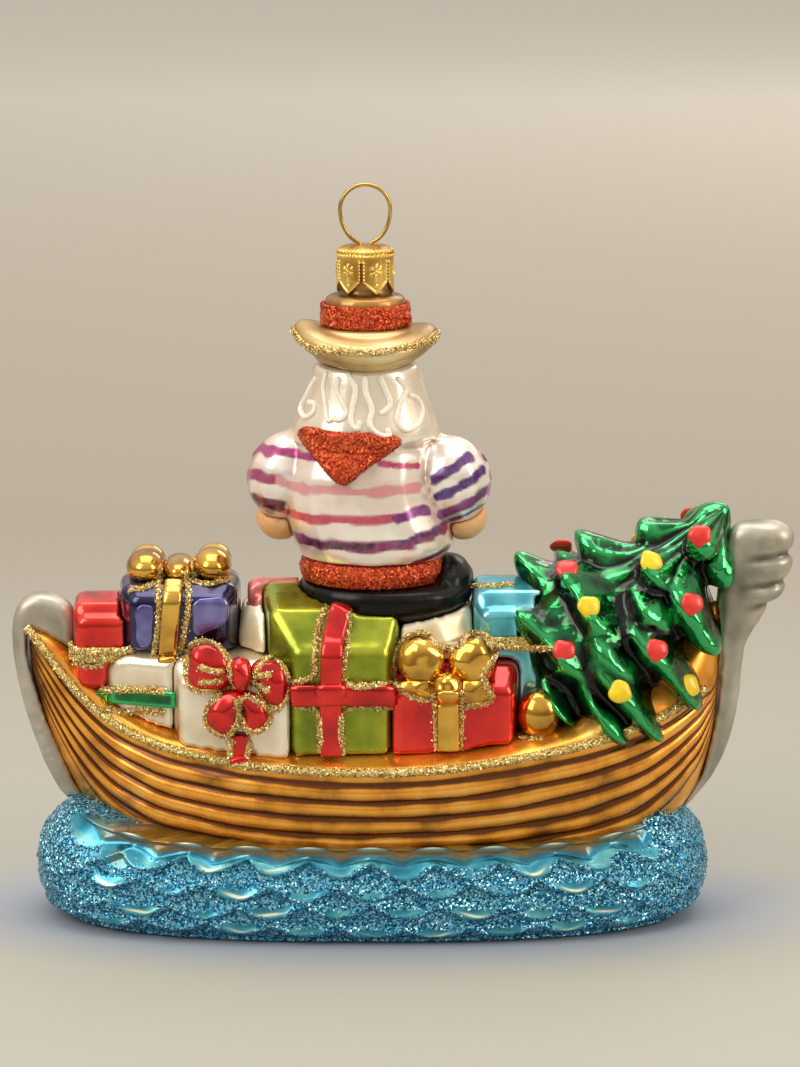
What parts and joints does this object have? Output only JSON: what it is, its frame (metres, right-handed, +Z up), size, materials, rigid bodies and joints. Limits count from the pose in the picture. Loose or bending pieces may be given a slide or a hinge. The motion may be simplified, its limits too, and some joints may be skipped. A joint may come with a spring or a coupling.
{
  "type": "glass gondola tree ornament",
  "caption": "Hanging blown-glass ornament shaped as a gondola with gifts, a fir tree and a seated gondolier, closed by a metal cap with a wire hanger.",
  "frame": {"origin": "on the flat underside of the wave base, below the middle of the whole outline", "axes": "+X towards the bow iron, +Y to the side that the gondolier faces, +Z up towards the hanger"},
  "size_m": [0.1453, 0.048, 0.1367],
  "materials": {
    "sea_blue": "blue glitter and gloss lacquer over silvered glass",
    "copper_gold": "mirror copper-gold lacquer over silvered glass",
    "frosted_silver": "satin silver-grey lacquer",
    "gold_glitter": "gold glitter on glue lines",
    "red_glitter": "orange-red glitter",
    "pearl_white": "satin pearl lacquer with painted stripes on the shirt",
    "silver_beige": "pearly silver-beige lacquer",
    "red_lacquer": "transparent red lacquer over silvered glass",
    "lime_lacquer": "transparent lime-green lacquer over silvered glass",
    "emerald_lacquer": "transparent green lacquer over silvered glass",
    "violet_lacquer": "transparent violet-blue lacquer over silvered glass",
    "rose_lacquer": "satin rose lacquer",
    "sky_lacquer": "transparent sky-blue lacquer over silvered glass",
    "gold_mirror": "mirror gold lacquer over silvered glass",
    "straw": "satin straw-gold lacquer",
    "black_enamel": "gloss black enamel",
    "skin_enamel": "matte peach enamel",
    "gold_brass": "bright gold-plated stamped sheet and wire"
  },
  "bodies": {
    "glass": {"hull": "copper_gold", "wave_base": "sea_blue", "stern_crest": "frosted_silver", "bow_iron": "frosted_silver", "gunwale_bead_near": "gold_glitter", "gunwale_bead_far": "gold_glitter", "tree": "emerald_lacquer", "trousers": "black_enamel", "shoe_left": "black_enamel", "shoe_right": "black_enamel", "sash": "red_glitter", "torso": "pearl_white", "hair": "pearl_white", "face": "skin_enamel", "beard": "pearl_white", "sleeve_left": "pearl_white", "sleeve_right": "pearl_white", "forearm_left": "skin_enamel", "forearm_right": "skin_enamel", "kerchief": "red_glitter", "hat_brim": "straw", "hat_crown": "straw", "hat_band": "red_glitter", "box_white_bow": "pearl_white", "box_lime": "lime_lacquer", "box_red_bow": "red_lacquer", "box_white_band": "pearl_white", "box_violet": "violet_lacquer", "box_red_stern": "red_lacquer", "box_blue": "sky_lacquer", "box_gold_far": "gold_mirror", "box_red_far": "red_lacquer", "box_rose": "rose_lacquer", "bauble_gold": "gold_mirror", "sack": "silver_beige", "ribbon_red_cross": "red_lacquer", "ribbon_green_near": "emerald_lacquer", "ribbon_green_far": "emerald_lacquer", "ribbon_gold_stern_near": "gold_glitter", "ribbon_gold_stern_far": "gold_glitter", "ribbon_gold_blue_near": "gold_glitter", "ribbon_gold_blue_far": "gold_glitter", "ribbon_gold_violet": "gold_mirror", "bow_violet": "gold_mirror", "bow_red": "red_lacquer", "ribbon_red": "red_lacquer", "bow_gold": "gold_mirror", "ribbon_gold": "gold_mirror", "ribbon_red_far": "red_lacquer", "ribbon_gold_far": "gold_mirror"},
    "cap": {"cap": "gold_brass"},
    "hanger": {"hanger": "gold_brass"}
  },
  "joints": [
    {"name": "cap_turn", "type": "hinge", "parent": "glass", "child": "cap", "pos_m": [-0.0073, 0, 0.1256], "axis": [0, 0, 1], "continuous": true},
    {"name": "hanger_rock", "type": "hinge", "parent": "cap", "child": "hanger", "pos_m": [-0.0073, 0, 0.1253], "axis": [1, 0, 0], "range_deg": [-15, 15]}
  ]
}
